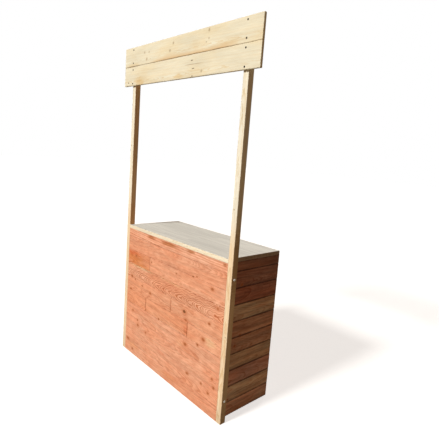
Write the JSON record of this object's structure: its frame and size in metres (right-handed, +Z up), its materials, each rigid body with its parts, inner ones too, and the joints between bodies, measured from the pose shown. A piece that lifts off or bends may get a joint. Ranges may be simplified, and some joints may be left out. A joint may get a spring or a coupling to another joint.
{
  "type": "wooden market stall",
  "caption": "Free-standing wooden market stall: a boarded counter, open at the back, between tall posts that carry a plank header over the serving opening.",
  "frame": {"origin": "on the ground, in the middle of the stall's outline seen from above", "axes": "+Z up, -Y towards the customers in front, +X along the front to their right"},
  "size_m": [1.488, 0.518, 2.52],
  "materials": {
    "posts_and_header": "planed unpainted spruce, pale yellow",
    "counter_panel": "glued spruce panel, weathered to a pale grey beige",
    "cladding_boards": "planed softwood, salmon orange to red brown, with dark knots",
    "inner_frame": "planed unpainted spruce",
    "screws": "zinc-plated steel, dulled"
  },
  "bodies": {
    "root": {"back_bottom_rail": "inner_frame", "back_left_corner_batten": "inner_frame", "back_right_corner_batten": "inner_frame", "back_top_rail": "inner_frame", "counter_panel": "counter_panel", "front_board_01": "cladding_boards", "front_board_02": "cladding_boards", "front_board_03": "cladding_boards", "front_board_04": "cladding_boards", "front_board_05": "cladding_boards", "front_board_06": "cladding_boards", "front_board_07": "cladding_boards", "front_board_08": "cladding_boards", "front_board_09": "cladding_boards", "front_board_10": "cladding_boards", "front_left_corner_batten": "inner_frame", "front_right_corner_batten": "inner_frame", "front_stud": "inner_frame", "front_top_rail": "inner_frame", "left_board_01": "cladding_boards", "left_board_02": "cladding_boards", "left_board_03": "cladding_boards", "left_board_04": "cladding_boards", "left_board_05": "cladding_boards", "left_board_06": "cladding_boards", "left_board_07": "cladding_boards", "left_board_08": "cladding_boards", "left_board_09": "cladding_boards", "left_board_10": "cladding_boards", "left_post": "posts_and_header", "left_top_rail": "inner_frame", "lower_header_board": "posts_and_header", "right_board_01": "cladding_boards", "right_board_02": "cladding_boards", "right_board_03": "cladding_boards", "right_board_04": "cladding_boards", "right_board_05": "cladding_boards", "right_board_06": "cladding_boards", "right_board_07": "cladding_boards", "right_board_08": "cladding_boards", "right_board_09": "cladding_boards", "right_board_10": "cladding_boards", "right_post": "posts_and_header", "right_top_rail": "inner_frame", "upper_header_board": "posts_and_header"}
  },
  "joints": []
}
